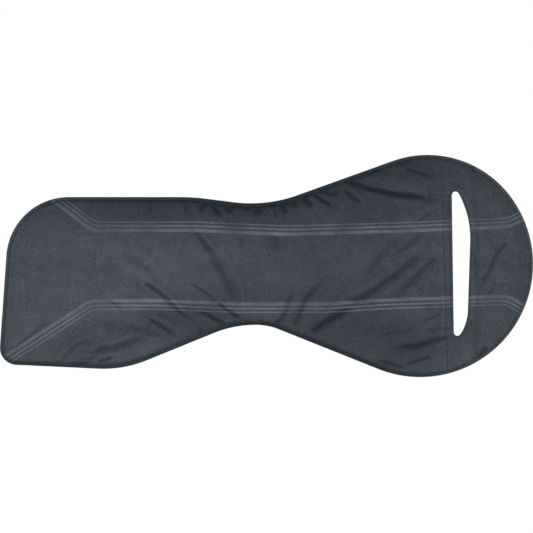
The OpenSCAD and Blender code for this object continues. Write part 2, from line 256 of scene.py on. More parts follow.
# Creases of the empty cloth, each (points along its valley, half its width, its depth)
CREASES = [
    ([(95, 110), (109, 106), (119, 103), (132, 98), (145, 96), (160, 92), (177, 90), (196, 88),
      (224, 85)], 3.3, 2.6),
    ([(98, 98), (105, 92), (114, 85), (123, 82)], 2.6, 1.4),
    ([(57, 93), (66, 87), (75, 82), (86, 75)], 2.3, 2.0),
    ([(64, 97), (75, 94), (84, 91), (95, 97)], 3.2, 1.4),
    ([(47, 87), (54, 80), (61, 75)], 3.6, 1.8),
    ([(26, 84), (34, 79), (40, 74)], 4.3, 1.8),
    ([(124, 117), (137, 120), (151, 124)], 2.3, 1.1),
    ([(163, 128), (174, 130), (188, 133)], 2.3, 1.1),
    ([(174, 125), (186, 122), (196, 119), (206, 115), (219, 110)], 2.9, 1.4),
    ([(191, 57), (203, 65), (214, 71), (223, 77)], 1.5, 0.8),
    ([(175, 38), (163, 29), (147, 15), (136, 1), (126, -11), (115, -24)], 5.7, 0.7),
    ([(203, 45), (192, 36), (179, 27), (165, 17), (154, 5)], 4.1, 0.8),
    ([(221, 14), (214, 10), (205, 1), (196, -8), (183, -20), (170, -33), (160, -43)], 4.1, 1.2),
    ([(99, -47), (117, -41), (132, -33), (145, -24), (158, -15), (173, -4), (187, 8), (201, 19),
      (214, 29)], 4.6, 1.5),
    ([(54, -85), (64, -79), (76, -70), (86, -64), (99, -57), (117, -50)], 5.1, 1.7),
    ([(31, -79), (38, -71), (41, -63), (45, -52), (50, -41), (57, -33), (66, -23),
      (76, -13)], 4.1, 1.3),
    ([(6, -74), (15, -71), (21, -65), (25, -57), (27, -48), (31, -38), (36, -27)], 3.6, 1.2),
    ([(223, -60), (211, -65), (197, -69)], 1.7, 1.0),
    ([(191, -80), (175, -83), (163, -83), (135, -91)], 2.3, 0.7),
    ([(237, -88), (221, -92), (211, -95), (201, -98), (191, -101), (175, -102),
      (155, -106)], 3.6, 1.4),
    ([(211, -115), (196, -119), (186, -122), (173, -126)], 2.3, 1.3),
    ([(177, -129), (163, -126), (150, -122), (137, -120)], 2.8, 1.2),
    ([(237, -78), (219, -79), (201, -82)], 1.8, 0.7),
    ([(-91, 46), (-82, 33), (-76, 26), (-63, 11)], 3.3, 1.3),
    ([(-73, 18), (-58, -5), (-49, -23), (-34, -47)], 7.7, 0.9),
    ([(-98, -19), (-85, -28), (-76, -33), (-64, -42)], 2.3, 0.8),
    ([(-63, -45), (-52, -54), (-44, -59), (-36, -65), (-30, -71)], 2.3, 1.8),
    ([(-87, -56), (-76, -61), (-68, -66), (-59, -70), (-49, -77)], 2.8, 1.6),
    ([(-158, -18), (-146, -26), (-136, -33), (-126, -42), (-117, -51), (-108, -59),
      (-94, -69)], 2.3, 1.5),
    ([(-152, -66), (-138, -73), (-131, -78), (-123, -83), (-113, -91)], 2.4, 1.5),
    ([(-81, -79), (-87, -87)], 3.3, 1.0),
    ([(-70, 79), (-66, 74), (-62, 69), (-57, 61)], 2.4, 2.2),
    ([(-75, 82), (-81, 77), (-87, 70)], 3.1, 1.7),
    ([(-11, 79), (-11, 70), (-7, 63)], 4.3, 1.7),
    ([(8, 75), (11, 69), (13, 59)], 2.4, 0.8),
    ([(22, 83), (22, 74), (26, 66)], 3.8, 1.6),
    ([(-52, 80), (-48, 74), (-48, 65)], 5.1, 1.5),
    ([(-24, 79), (-25, 70)], 3.8, 1.1),
    ([(-104, 82), (-101, 63)], 3.8, 0.7),
    ([(-146, 83), (-150, 69)], 4.1, 0.6),
    ([(-33, 38), (-30, 23)], 4.1, 0.5),
    ([(7, 40), (16, 19)], 6.4, 0.6),
    ([(-262, -122), (-256, -112), (-249, -105), (-240, -98), (-219, -92)], 3.3, 0.7),
    ([(-228, -112), (-215, -107), (-207, -103), (-197, -103), (-187, -100), (-177, -97),
      (-169, -93), (-159, -92), (-144, -94)], 3.8, 1.1),
    ([(-240, -119), (-225, -117), (-214, -114)], 1.8, 0.9),
    ([(-216, -123), (-205, -119), (-193, -115)], 1.9, 1.4),
    ([(-251, -125), (-238, -124), (-228, -122), (-218, -119)], 1.9, 1.0),
    ([(-200, -41), (-189, -50), (-182, -56)], 1.9, 0.7),
    ([(311, 34), (300, 24), (293, 14), (289, 5), (285, -5), (279, -15), (272, -34)], 2.7, 1.4),
    ([(294, -19), (289, -29), (280, -37)], 2.0, 0.8),
    ([(283, -103), (269, -119)], 3.8, 2.2),
    ([(-207, -71), (-197, -75)], 3.8, 0.4),
    ([(-177, -75), (-159, -78)], 2.6, 0.5),
]
# Ridges beside them, each (points along its crest, half its width, its height)
RIDGES = [
    ([(96, 106), (109, 98), (117, 93), (124, 87), (133, 80)], 2.4, 1.2),
    ([(112, 114), (138, 115), (158, 111), (177, 106), (196, 102), (219, 101)], 7.7, 1.3),
    ([(175, 60), (193, 70), (206, 77), (224, 85)], 3.1, 0.9),
    ([(47, 85), (43, 68)], 3.6, 1.2),
    ([(70, 84), (64, 68)], 3.8, 1.0),
    ([(101, 91), (96, 73)], 4.1, 0.6),
    ([(-77, 80), (-71, 66), (-66, 55)], 3.8, 1.3),
    ([(-33, 82), (-39, 64)], 3.6, 1.2),
    ([(4, 83), (11, 66)], 3.3, 1.3),
    ([(8, 64), (18, 57)], 3.8, 0.5),
    ([(175, -114), (192, -107), (219, -101)], 3.6, 0.9),
    ([(39, -55), (33, -70), (25, -78)], 2.8, 0.9),
    ([(58, -59), (50, -69), (43, -82)], 3.3, 0.7),
    ([(100, -66), (86, -75), (71, -87)], 4.3, 0.6),
    ([(155, -8), (137, -18), (119, -31)], 5.7, 0.7),
    ([(181, -11), (165, -23), (145, -38)], 4.1, 0.6),
    ([(-218, -117), (-200, -110), (-184, -106), (-161, -101)], 4.1, 0.4),
    ([(313, 20), (300, 5), (293, -13)], 5.1, 0.7),
    ([(-105, -54), (-92, -60), (-80, -71)], 3.1, 0.8),
    ([(-57, -61), (-47, -68), (-39, -73)], 2.0, 0.6),
    ([(-80, 38), (-67, 26), (-57, 10)], 4.1, 0.7),
    ([(-140, -61), (-123, -71), (-108, -84)], 3.6, 0.7),
]


def to_path(xy, path):
    """Signed distance from an open path, and the share of its length at the nearest point."""
    path = np.array(path, float)
    runs = np.linalg.norm(np.diff(path, axis=0), axis=1)
    total, done = runs.sum(), 0.0
    best = np.full(len(xy), 1e9)
    signed, share = np.zeros(len(xy)), np.zeros(len(xy))
    for a, b, run in zip(path[:-1], path[1:], runs):
        u = (b - a) / run
        rel = xy - a
        t = rel @ u
        inside = np.clip(t, 0, run)
        off = np.linalg.norm(rel - inside[:, None] * u, axis=1)
        side = rel[:, 1] * u[0] - rel[:, 0] * u[1]
        nearer = off < best
        best = np.where(nearer, off, best)
        signed = np.where(nearer, np.where(side < 0, -off, off), signed)
        share = np.where(nearer, (done + inside) / total, share)
        done += run
    return signed, share


# How a fold grows and fades along its length, as shares of it, how deep a crease is for its
# given depth, and how high the brows beside it stand
CREASE_IN, RIDGE_IN, FOLD_OUT = 0.14, 0.2, 0.35
CREASE_SHARE, BROW_SHARE = 0.8, 0.16


def fold(xy, path, half, lead_in):
    """Which points a fold reaches, how far across it they lie (as a share of its half width),
    and how its height fades towards its ends."""
    ends = np.array(path)
    near = ((xy > ends.min(0) - 5 * half) & (xy < ends.max(0) + 5 * half)).all(1)
    if not near.any():
        return near, np.zeros(0), np.zeros(0)
    off, share = to_path(xy[near], path)
    across = off / (half * (0.85 + 0.3 * share))
    return near, across, smooth(share / lead_in) * smooth((1 - share) / FOLD_OUT)


def crease_field(xy):
    """Height of the creases and ridges, how deep in a crease each point lies, and the room
    that the underside keeps below them."""
    z, deep, room = np.zeros((3, len(xy)))
    for number, (path, half, depth) in enumerate(CREASES):
        near, u, fade = fold(xy, path, half, CREASE_IN)
        lean = 0.7 * math.sin(2.4 * number)
        brow = (1 + lean) * bump_at(u, 1.9, 1.1) + (1 - lean) * bump_at(u, -1.9, 1.1)
        blunt = 0.25 + 0.25 * max(0, half - 3)
        valley = np.exp((blunt - np.sqrt(u * u + blunt * blunt)) / 0.7)
        z[near] += CREASE_SHARE * depth * fade * (BROW_SHARE * brow - valley)
        deep[near] += depth * fade * bump_at(u, 0, 0.9)
        room[near] = np.maximum(room[near], depth * bump_at(u, 0, 3))
    for path, half, height in RIDGES:
        near, u, fade = fold(xy, path, half, RIDGE_IN)
        z[near] += height * fade * bump_at(u, 0, 1)
    return z, deep, room


# Strain lines that spread from a point below the waist, each (lines in a full turn, height)
FAN_FROM = (-12, -118)
FANS = [(17, 0.3), (27, 0.5), (41, 0.35), (58, 0.25)]
FAN_SEED = 21


def fan_field(xy):
    """Height of the strain lines, about 1 high where most of them meet."""
    dx, dy = xy[:, 0] - FAN_FROM[0], xy[:, 1] - FAN_FROM[1]
    angle, away = np.arctan2(dy, dx), np.hypot(dx, dy)
    rng = np.random.default_rng(FAN_SEED)
    z = np.zeros(len(xy))
    for turns, height in FANS:
        bend = rng.uniform(0.6, 1.4) * np.sin(away / rng.uniform(26, 48) + rng.uniform(0, 6))
        patch = 0.5 + 0.5 * np.sin(away / rng.uniform(24, 40) + 5 * angle + rng.uniform(0, 6))
        z += height * patch * np.sin(turns * angle + bend + rng.uniform(0, 6))
    return z * smooth((away - 35) / 25) * (1 - smooth((away - 190) / 90))


def wave_field(xy, seed, count, short, long):
    """Gentle waves of many directions and lengths, about 1 high."""
    rng = np.random.default_rng(seed)
    z = np.zeros(len(xy))
    for _ in range(count):
        length = short * (long / short) ** rng.random()
        angle = rng.random() * math.pi
        k = 2 * math.pi / length
        phase = rng.random() * 2 * math.pi
        run = xy[:, 0] * math.cos(angle) + xy[:, 1] * math.sin(angle)
        z += (length / long) * np.sin(k * run + phase)
    return z / math.sqrt(count)


def along_noise(run, length, pitch, seed):
    """Smooth noise along a closed seam, between -1 and 1."""
    knots = max(4, int(length / pitch))
    values = np.random.default_rng(seed).uniform(-1, 1, knots)
    t = run / length * knots
    i = np.floor(t).astype(int)
    f = smooth(t - i)
    return values[i % knots] * (1 - f) + values[(i + 1) % knots] * f


# A sewn edge: width of its rounded turn, and depth of the stitches' groove
TURN_W = 1.1
GROOVE = 0.55


def edge_profile(d, stitch_in):
    """Rounded turned edge, the groove that the stitches pull down, and the cloth that stands
    up on both sides of it."""
    turn = 1 - np.clip(d / TURN_W, 0, 1)
    bead = -CLOTH * (1 - np.sqrt(np.clip(1 - turn**2, 0, 1)))
    groove = -GROOVE * bump_at(d, stitch_in, 0.75)
    crest = 0.14 * bump_at(d, stitch_in / 2, 0.9) + 0.12 * bump_at(d, stitch_in + 1.9, 1.2)
    return bead + groove + crest


# How high the empty cover puffs up at these places along its length
PUFF_X = [-340, -250, -150, -20, 120, 205, 248, 340]
PUFF = [0.6, 1.5, 3.4, 4.2, 5.2, 4.6, 3.0, 1.2]
# How far in from the rim its slope reaches, at these places round the rim
SLOPE_AT = [0, 0.15, 0.4, 1.0, 1.3, 2.4, 4.0, 4.3, 5.0, 6.2, 7.0, 8.2, 8.6, 9.0]
SLOPE_W = [44, 34, 18, 18, 44, 36, 36, 16, 12, 16, 30, 34, 46, 44]
# The rolled hem between these two places, how wide and how high it is rolled, and the
# strain lines that cross it
ROLL_FROM, ROLL_TO = 7.45, 9.3
ROLL_W, ROLL_H = 6.5, 2.0
ROPE_PITCH, ROPE_LEAN, ROPE_IN, ROPE_H = 5.2, 1.1, 5.6, 0.2
# Waves all over the cloth, each (seed, how many, shortest, longest, height), and how strong
# they are along its length
WAVES = [(11, 26, 34, 150, 0.6), (12, 26, 13, 30, 0.12)]
WAVES_X = [-340, -100, 100, 230, 270]
WAVES_SHARE = [0.6, 1.0, 2.0, 2.0, 1.2]
STRAIN_H = 0.55
# Puckers beside the rim's seam, each (distance apart, seed, height), and their strength
PUCKERS = [(9, 3, 1.0), (5, 4, 0.6)]
PUCKER_AT = [1.4, 1.8, 3.2, 3.6]
PUCKER_SHARE = [0.16, 0.34, 0.34, 0.16]
HOLE_DEPTH = 0.16
# Painted shade on the very edge, the hem and the seam beside it, at these places round the rim
DARK_AT = [0, 0.2, 1.0, 1.35, 2.0, 2.6, 3.4, 4.1, 4.35, 5.0, 5.3, 6.2, 6.9, 7.5, 8.4, 9.0]
EDGE_SHADE = [0.3, 0, 0, 0.2, 0.35, 0.6, 0.3, 0.15, 0, 0, 0.3, 0.3, 0.4, 0.7, 0.7, 0.6]
HEM_SHADE = [0.5, 0, 0, 0, 0, 0, 0, 0, 0, 0.3, 0.4, 0.25, 0.1, 0.5, 0.65, 0.65]
SEAM_SHADE = [0.15, 0, 0, 0.2, 0.4, 0.55, 0.4, 0.3, 0, 0, 0.2, 0.25, 0.2, 0.1, 0.12, 0.12]
# Painted shade in the folds, in the rim's needle holes and along the facing's seam, and the
# most shade painted anywhere
FOLD_SHADE, HOLE_SHADE, FACING_SHADE, DARKEST = 0.25, 0.6, 0.3, 0.75
# Patches of painted shade, where the cloth is drawn a little darker, as (x, y, reach along x,
# reach along y, how much)
SHADE_PATCHES = [(-165, 66, 110, 26, 0.22), (75, 20, 175, 170, 0.22), (120, -85, 110, 45, 0.2),
         (-85, -65, 55, 32, 0.2), (-150, -72, 55, 30, 0.13), (-235, -92, 55, 35, 0.12),
         (130, 75, 45, 30, 0.13), (190, 110, 50, 40, 0.15), (190, -110, 45, 28, 0.17),
         (292, -70, 35, 45, 0.08)]
# The same columns for the print, which is drawn a little darker in these patches
PRINT_TONES = [(-190, 50, 55, 20, 0.26), (-40, 47, 20, 20, 0.22), (96, 47, 16, 20, 0.3),
               (-217, -50, 14, 20, 0.2), (-68, -52, 14, 20, 0.25), (60, -53, 45, 20, 0.25)]


def rolled(place):
    """1 along the open edge between the waist and the round end, where the hem rolls."""
    past = np.where(place < 1, place + 9, place)
    return smooth((past - ROLL_FROM) / 0.2) * (1 - smooth((past - ROLL_TO) / 0.3))


def needle_holes(d, k):
    """1 between two stitches of the rim's seam."""
    return np.where(k % STITCH_POINTS == 0, 1, 0) * bump_at(d, STITCH_IN, 0.7)


def front_base(xy, d, k, e, j):
    """Height of the front panel's top without the shapes of its sewn edges, at points d
    inside the rim and e outside the slot, nearest to points k and j of those two."""
    place = RIM.places[k]
    run = RIM.run[k]
    width = np.interp(place, SLOPE_AT, SLOPE_W)
    puff = np.interp(xy[:, 0], PUFF_X, PUFF) * (1 - (1 - np.clip((d - 2) / width, 0, 1)) ** 2)
    lift = LIFT * openness(place) * (1 - smooth((d - LIFT_FROM) / LIFT_REACH))
    pucker = sum(h * along_noise(run, RIM.length, apart, seed) for apart, seed, h in PUCKERS)
    pucker *= np.interp(place, PUCKER_AT, PUCKER_SHARE)
    pucker *= np.exp(-np.clip(d - STITCH_IN, 0, None) / 5) * smooth(d / 2)
    inner = smooth((d - 2) / 4.5) * smooth((e - 2) / 7)
    creases, _, _ = crease_field(xy)
    waves = sum(h * wave_field(xy, *kind) for *kind, h in WAVES)
    waves *= np.interp(xy[:, 0], WAVES_X, WAVES_SHARE)
    roll = rolled(place)
    rope = ROPE_H * np.sin(2 * math.pi * (run + ROPE_LEAN * d) / ROPE_PITCH)
    rope = rope * bump_at(d, ROPE_IN, 2.2) * roll
    roll_z = ROLL_H * roll * openness(place) * (smooth(d / ROLL_W) - 1)
    slot_pucker = 0.12 * along_noise(SLOT.run[j], SLOT.length, 7, 5)
    slot_pucker *= np.exp(-np.abs(e - SLOT_STITCH_IN) / 4)
    holes = -HOLE_DEPTH * needle_holes(d, k)
    z = 2 * SEWN + puff + lift + pucker + rope + roll_z + slot_pucker + holes
    strain = STRAIN_H * fan_field(xy)
    return z + inner * (waves + creases + strain) + facing_relief(xy, d)


def painted_shade_at(xy, d, k, tones):
    """How much shade is painted into the colour, which is also made duller there: in the folds,
    at the edge, hem and seams, in the needle holes and along the facing's seam; and how much
    darker the given patches are.
    """
    # How deep in a crease each point lies, for the shade painted in the folds
    _, deep, _ = crease_field(xy)
    place = RIM.places[k]
    # Painted shade along the rim: on the very edge, over the hem and beside the seam
    edge = np.interp(place, DARK_AT, EDGE_SHADE) * bump_at(d, 0.5, 0.9)
    seam = np.interp(place, DARK_AT, SEAM_SHADE)
    seam = seam * (0.8 * bump_at(d, 5.0, 2.4) + 0.65 * np.exp(-np.clip(d - 6, 0, 99) / 16))
    hem = np.interp(place, DARK_AT, HEM_SHADE) * bump_at(d, 2.4, 2.4)
    # Painted shade in the needle holes between the rim's stitches
    hem = hem + HOLE_SHADE * needle_holes(d, k)
    # Dotted painted shade along the facing's seam, where its stitches dent the cloth
    dots = 0.6 + 0.4 * np.cos(2 * math.pi * (xy[:, 1] - SEAM_Y[0]) / PITCH)
    facing = FACING_SHADE * dots * bump_at(facing_inside(xy), FACING_SEW, 1.3)
    facing = facing * smooth((d - 4) / 4)
    tone = sum(dark * bump_at(xy[:, 0], x, rx) * bump_at(xy[:, 1], y, ry)
               for x, y, rx, ry, dark in tones)
    painted_shade = FOLD_SHADE * deep * smooth((d - 2) / 4) + edge + seam + hem + facing + tone
    return np.clip(painted_shade, 0, DARKEST)


def front_z(xy, d, k, e, j):
    edges = edge_profile(d, STITCH_IN) + edge_profile(e, SLOT_STITCH_IN)
    z = front_base(xy, d, k, e, j) + edges
    hem_top = SEWN + LIFT * openness(RIM.places[k]) + 0.4
    return np.where((d > BEAD_W) & (d < HEM_W + 3), np.maximum(z, hem_top), z)


# The facing behind the slot: its two long sides lean a little, and the right one is bowed
FACING_LEFT, FACING_LEFT_LEAN = 225.2, 0.0294
FACING_RIGHT, FACING_RIGHT_LEAN, FACING_BOW = 269.8, 0.0125, 0.00033
FACING_SEW = 1.6
FACING_IN = HEM_W + 1.5
FACING_STEP_H, FACING_DENT = 0.35, 0.32
FACING_GROOVE = 0.48


def facing_left(y):
    return FACING_LEFT - FACING_LEFT_LEAN * y


def facing_right(y):
    return FACING_RIGHT - FACING_RIGHT_LEAN * y - FACING_BOW * y * y


def facing_inside(xy):
    """Distance inwards from the nearer long side of the facing."""
    x, y = xy[:, 0], xy[:, 1]
    return np.minimum(x - facing_left(y), facing_right(y) - x)


def facing_relief(xy, d):
    """The facing behind the slot lifts the cloth a little, and its stitches dent it."""
    inside = facing_inside(xy)
    step = FACING_STEP_H * smooth((inside + 1.6) / 1.6)
    dent = -FACING_DENT * bump_at(inside, FACING_SEW, 0.9)
    return (step + dent) * smooth((d - 4) / 4)


# Rings of points round the rim and the slot, closer where the cloth bends over them, and
# the spacing of the points between
RIM_INSETS = [0, 0.12, 0.35, 0.7, 1.1, 1.6, 2.2, 2.8, 3.2, 3.5, 3.8, 4.3, 5.0, 6.0, 7.4, 9.2]
SLOT_OUTSETS = [0, 0.12, 0.35, 0.7, 1.2, 1.8, 2.2, 2.5, 3.0, 3.8, 5.0, 6.6]
HEM_RINGS = [0, 0.4, 1.4, 1.9, HEM_W, HEM_W + 0.5]
SLOT_HEM_RINGS = [0, 0.4]
FACING_ROWS = [-1.6, -0.6, 0.4, 1.2, 1.6, 2.0, 2.9]
GRID, UNDER_GRID, BACK_GRID, BACK_IN_GRID, FACING_GRID = 2.4, 4, 5, 9, 3
FINE_ROOM = 0.3
Y_REACH = 150


def keep_clear(pts, rim_clear, slot_clear):
    d, _ = RIM.nearest(pts)
    pts = pts[d > rim_clear]
    e, _ = SLOT.nearest(pts)
    return pts[-e > slot_clear]


def grid_points(step, rim_clear, slot_clear):
    """Points on a triangular grid, well inside the rim and clear of the slot."""
    rows = np.arange(-Y_REACH, Y_REACH, step * math.sqrt(0.75))
    xs = np.arange(-END_X, END_X, step)
    pts = [np.stack([xs + (step / 2 if i % 2 else 0), np.full(len(xs), y)], 1)
           for i, y in enumerate(rows)]
    return keep_clear(np.concatenate(pts), rim_clear, slot_clear)


def crease_points():
    """The same grid, twice as fine where the cloth is creased."""
    step = GRID / 2
    height = step * math.sqrt(0.75)
    rows, columns = int(2 * Y_REACH / height), int(2 * END_X / step)
    i, j = np.meshgrid(np.arange(rows), np.arange(columns), indexing="ij")
    i, j = i.ravel(), j.ravel()
    pts = np.stack([j * step + (i % 2) * step / 2 - END_X, i * height - Y_REACH], 1)
    coarse = (i % 2 == 0) & (j % 2 == (i // 2) % 2)
    _, _, room = crease_field(pts)
    return keep_clear(pts[coarse | (room > FINE_ROOM)], RIM_INSETS[-1] + 1.2,
                      SLOT_OUTSETS[-1] + 1.2)


def facing_points():
    rows = [np.stack([facing_left(SEAM_Y) + r, SEAM_Y], 1) for r in FACING_ROWS]
    rows += [np.stack([facing_right(SEAM_Y) - r, SEAM_Y], 1) for r in FACING_ROWS]
    return keep_clear(np.concatenate(rows), RIM_INSETS[-1] + 0.8, SLOT_OUTSETS[-1] + 0.8)


class Sheet:
    """A triangulated sheet with an outer ring and the slot: points, distances, triangles.
    The first points are the outer ring, and the next ones the slot's ring."""

    def __init__(self, rim_rings, slot_rings, inner, exact=True):
        self.rim_n, self.slot_n = len(rim_rings[0][1]), len(SLOT.pts)
        rings = [rim_rings[0], slot_rings[0], *rim_rings[1:], *slot_rings[1:]]
        self.xy = np.concatenate([r[1] for r in rings] + [inner])
        self.d, self.k = RIM.nearest(self.xy)
        slot_d, self.j = SLOT.nearest(self.xy)
        self.e = -slot_d
        at = 0
        for i, (value, pts) in enumerate(rings):
            end = at + len(pts)
            if i == 1 or i > len(rim_rings):
                self.e[at:end], self.j[at:end] = value, np.arange(len(pts))
            elif exact:
                self.d[at:end], self.k[at:end] = value, np.arange(len(pts))
            at = end
        self.tris = self.triangulate()

    def triangulate(self):
        _, _, faces, origin, _, _ = delaunay_2d_cdt(
            [Vector((p[0], p[1])) for p in self.xy], [], [], 0, 1e-5)
        first = [o[0] for o in origin]
        tris = np.array([[first[i] for i in f] for f in faces])
        r, s = self.rim_n, self.slot_n
        on_rim = (tris < r).all(1)
        on_slot = ((tris >= r) & (tris < r + s)).all(1)
        tris = tris[~(on_rim | on_slot)]
        a, b, c = (self.xy[tris[:, i]] for i in range(3))
        u, v = b - a, c - a
        turned = u[:, 0] * v[:, 1] - u[:, 1] * v[:, 0] < 0
        tris[turned] = tris[turned][:, ::-1]
        return tris


def rim_rings(insets):
    return [(v, RIM.inset(v)) for v in insets]


def slot_rings(outsets):
    return [(v, SLOT.inset(-v)) for v in outsets]


def set_painted_shade(obj, values):
    layer = obj.data.attributes.new("painted_shade", "FLOAT", "POINT")
    layer.data.foreach_set("value", np.asarray(values, dtype=np.float32))


def paint_shade_on(obj, tones):
    """Gives a finished piece its painted shade, worked out from where its points are."""
    xy = np.array([v.co[:2] for v in obj.data.vertices]) / MM
    d, k = RIM.nearest(xy)
    set_painted_shade(obj, painted_shade_at(xy, np.clip(d, 0, None), k, tones))


def new_piece(name, points, faces, rounded=True):
    """An object from points in millimetres and a list of faces."""
    mesh = bpy.data.meshes.new(name)
    mesh.from_pydata((np.asarray(points) * MM).tolist(), [], faces)
    mesh.update()
    mesh.polygons.foreach_set("use_smooth", [rounded] * len(mesh.polygons))
    obj = bpy.data.objects.new(name, mesh)
    bpy.context.scene.collection.objects.link(obj)
    return obj


def closed_sheet(name, top, top_z, under, under_z):
    """Joins a top and an underside that share the outer ring and the slot's ring."""
    shared = top.rim_n + top.slot_n
    under_pts = np.column_stack([under.xy, under_z])[shared:]
    points = np.concatenate([np.column_stack([top.xy, top_z]), under_pts])
    shift = len(top.xy) - shared
    low_tris = np.where(under.tris >= shared, under.tris + shift, under.tris)[:, ::-1]
    return new_piece(name, points, np.concatenate([top.tris, low_tris]).tolist())


def on_rings(sheet):
    return np.arange(len(sheet.xy)) < sheet.rim_n + sheet.slot_n


def front_heights(s):
    return front_z(s.xy, s.d, s.k, s.e, s.j)


def inside_front(s):
    """Where the inner face of the front panel lies, with room for the creases above it and
    clear of the back panel."""
    crease, _, room = crease_field(s.xy)
    z = front_base(s.xy, s.d, s.k, s.e, s.j) - facing_relief(s.xy, s.d)
    z -= np.maximum(crease, 0) + CLOTH + 0.9 * room
    return np.maximum(z, np.where(s.d < HEM_W + 5, SEWN, CLOTH) + AIR)


def front_under_heights(s):
    """Flat under the hem, where it stays above the tapes and below the rolled edge, and one
    layer of cloth below the top further in."""
    top = front_heights(s)
    hem = SEWN + LIFT * openness(RIM.places[s.k]) + 0.02
    over_tape = np.where(s.d < HEM_W + 8, np.minimum(hem, top - 0.15), 0)
    hem = np.where(s.d < BEAD_W, np.minimum(hem, top - 0.5), hem)
    z = np.where(s.d <= HEM_W, hem, np.maximum(inside_front(s), over_tape))
    return np.where(on_rings(s), top, z)


def back_top_heights(s):
    """The inner side of the back panel: two layers at the hem, one further in."""
    z = np.where(s.d <= HEM_W, SEWN - AIR, CLOTH)
    return np.where(on_rings(s), CLOTH, z)


def back_under_heights(s):
    """The underside of the back panel, flat on the floor but for its seams' grooves."""
    pull = -edge_profile(s.d, STITCH_IN) - edge_profile(s.e, SLOT_STITCH_IN)
    groove = FACING_GROOVE * bump_at(facing_inside(s.xy), FACING_SEW, 0.9)
    groove = groove * smooth((s.d - 3) / 2)
    z = np.maximum(np.clip(pull, 0, CLOTH) * 0.9, groove)
    return np.where(on_rings(s), CLOTH, z)


# Front and back panels
front_out = Sheet(rim_rings(RIM_INSETS), slot_rings(SLOT_OUTSETS),
                  np.concatenate([crease_points(), facing_points()]))
front_in = Sheet(rim_rings(HEM_RINGS), slot_rings(SLOT_HEM_RINGS),
                 grid_points(UNDER_GRID, HEM_W + 2.5, 2.5))
front = closed_sheet("front_cloth", front_out, front_heights(front_out),
                     front_in, front_under_heights(front_in))

back_grid = grid_points(BACK_GRID, RIM_INSETS[-1] + 2, SLOT_OUTSETS[-1] + 2)
back_grid = back_grid[abs(facing_inside(back_grid) - FACING_SEW) > 4]
back_out = Sheet(rim_rings(RIM_INSETS), slot_rings(SLOT_OUTSETS),
                 np.concatenate([back_grid, facing_points()]))
back_in = Sheet(rim_rings(HEM_RINGS), slot_rings(SLOT_HEM_RINGS),
                grid_points(BACK_IN_GRID, HEM_W + 3, 4))
back = closed_sheet("back_cloth", back_in, back_top_heights(back_in),
                    back_out, back_under_heights(back_out))


# Facings: strips of the same cloth behind the slot, inside the cover
FACING_RINGS = [0, 0.35, 1.2, 3.0, 6.6]
FACING_EDGE = 0.5


def facing_rim(gap):
    """The facing's outer ring: its two sides, and the hem's edge at its two ends."""
    ys = np.arange(-Y_REACH, Y_REACH, 0.5)
    left = np.stack([facing_left(ys) + gap, ys], 1)
    right = np.stack([facing_right(ys) - gap, ys], 1)
    left, right = (side[RIM.nearest(side)[0] > FACING_IN + gap] for side in (left, right))
    ring = RIM.inset(FACING_IN + gap)
    ends = ring[facing_inside(ring) > gap]
    upper, lower = ends[ends[:, 1] > 0], ends[ends[:, 1] < 0]
    upper = upper[np.argsort(upper[:, 0])][1:-1]
    lower = lower[np.argsort(-lower[:, 0])][1:-1]
    loop = np.concatenate([left, upper, right[::-1], lower])
    closed = np.concatenate([loop, loop[:1]])
    runs = np.linalg.norm(np.diff(closed, axis=0), axis=1)
    at = np.concatenate([[0], np.cumsum(runs)])
    even = np.linspace(0, at[-1], int(at[-1] / 2.5), endpoint=False)
    return np.stack([np.interp(even, at, closed[:, i]) for i in (0, 1)], 1)


def facing_grid(step):
    pts = grid_points(step, FACING_IN + 2, SLOT_OUTSETS[-1] + 1.5)
    return pts[facing_inside(pts) > 2.2]


def facing_piece(name, upper, lower):
    """A facing between two height functions, with rounded edges."""
    rings = [(FACING_IN, facing_rim(0)), (FACING_IN, facing_rim(FACING_EDGE))]
    s = Sheet(rings, slot_rings(FACING_RINGS), facing_grid(FACING_GRID), exact=False)
    mid = (upper(s) + lower(s)) / 2
    top_z = np.where(on_rings(s), mid, upper(s))
    low_z = np.where(on_rings(s), mid, lower(s))
    return closed_sheet(name, s, top_z, s, low_z)


def below_front(drop):
    return lambda s: inside_front(s) - drop


def level(z):
    return lambda s: np.full(len(s.xy), float(z))


front_facing = facing_piece("front_facing", below_front(0.2), below_front(CLOTH + 0.1))
back_facing = facing_piece("back_facing", level(2 * CLOTH), level(CLOTH + 0.03))


# The cloth's outer faces, on which the print and the threads are laid
def searched(piece):
    return BVHTree.FromPolygons([v.co / MM for v in piece.data.vertices],
                                [p.vertices[:] for p in piece.data.polygons])


surface = {"front": searched(front), "back": searched(back)}
FAR_OFF = 50


def height_on(side, x, y):
    """Height of the cloth's outer face at a point, or None off the cloth."""
    away = FAR_OFF if side == "front" else -FAR_OFF
    hit = surface[side].ray_cast(Vector((x, y, away)), Vector((0, 0, -math.copysign(1, away))))
    return None if hit[0] is None else hit[0].z


# Printed stripes: the bends of each middle line, as (x, y, bend radius)
UPPER_LINE = [(-280, 95, 0), (-220, 50, 24), (-90, 50, 200), (24, 45, 300), (170, 49, 300),
              (END_X - 31, 55, 22), (END_X + 3, 73, 0)]
LOWER_LINE = [(-346, -129, 0), (-223, -49, 24), (-136, -49, 200), (-40, -53, 300),
              (80, -53, 300), (152, -48, 200), (END_X - 34, -43, 22), (END_X + 6, -65, 0)]
# Its three bands, how far the print stands above the cloth and goes into it, the spacing of
# its points, and how far it stops short of the rim and the slot
BANDS = [(0, 4.3), (6.7, 9.3), (11.8, 13.7)]
PRINT_UP, PRINT_DOWN = 0.13, 0.12
LINE_STEP, PRINT_STEP, PRINT_ACROSS = 0.5, 2.0, 1.4
PRINT_RIM_GAP, PRINT_SLOT_GAP = 0.7, 0.6
SHORTEST_RUN = 8


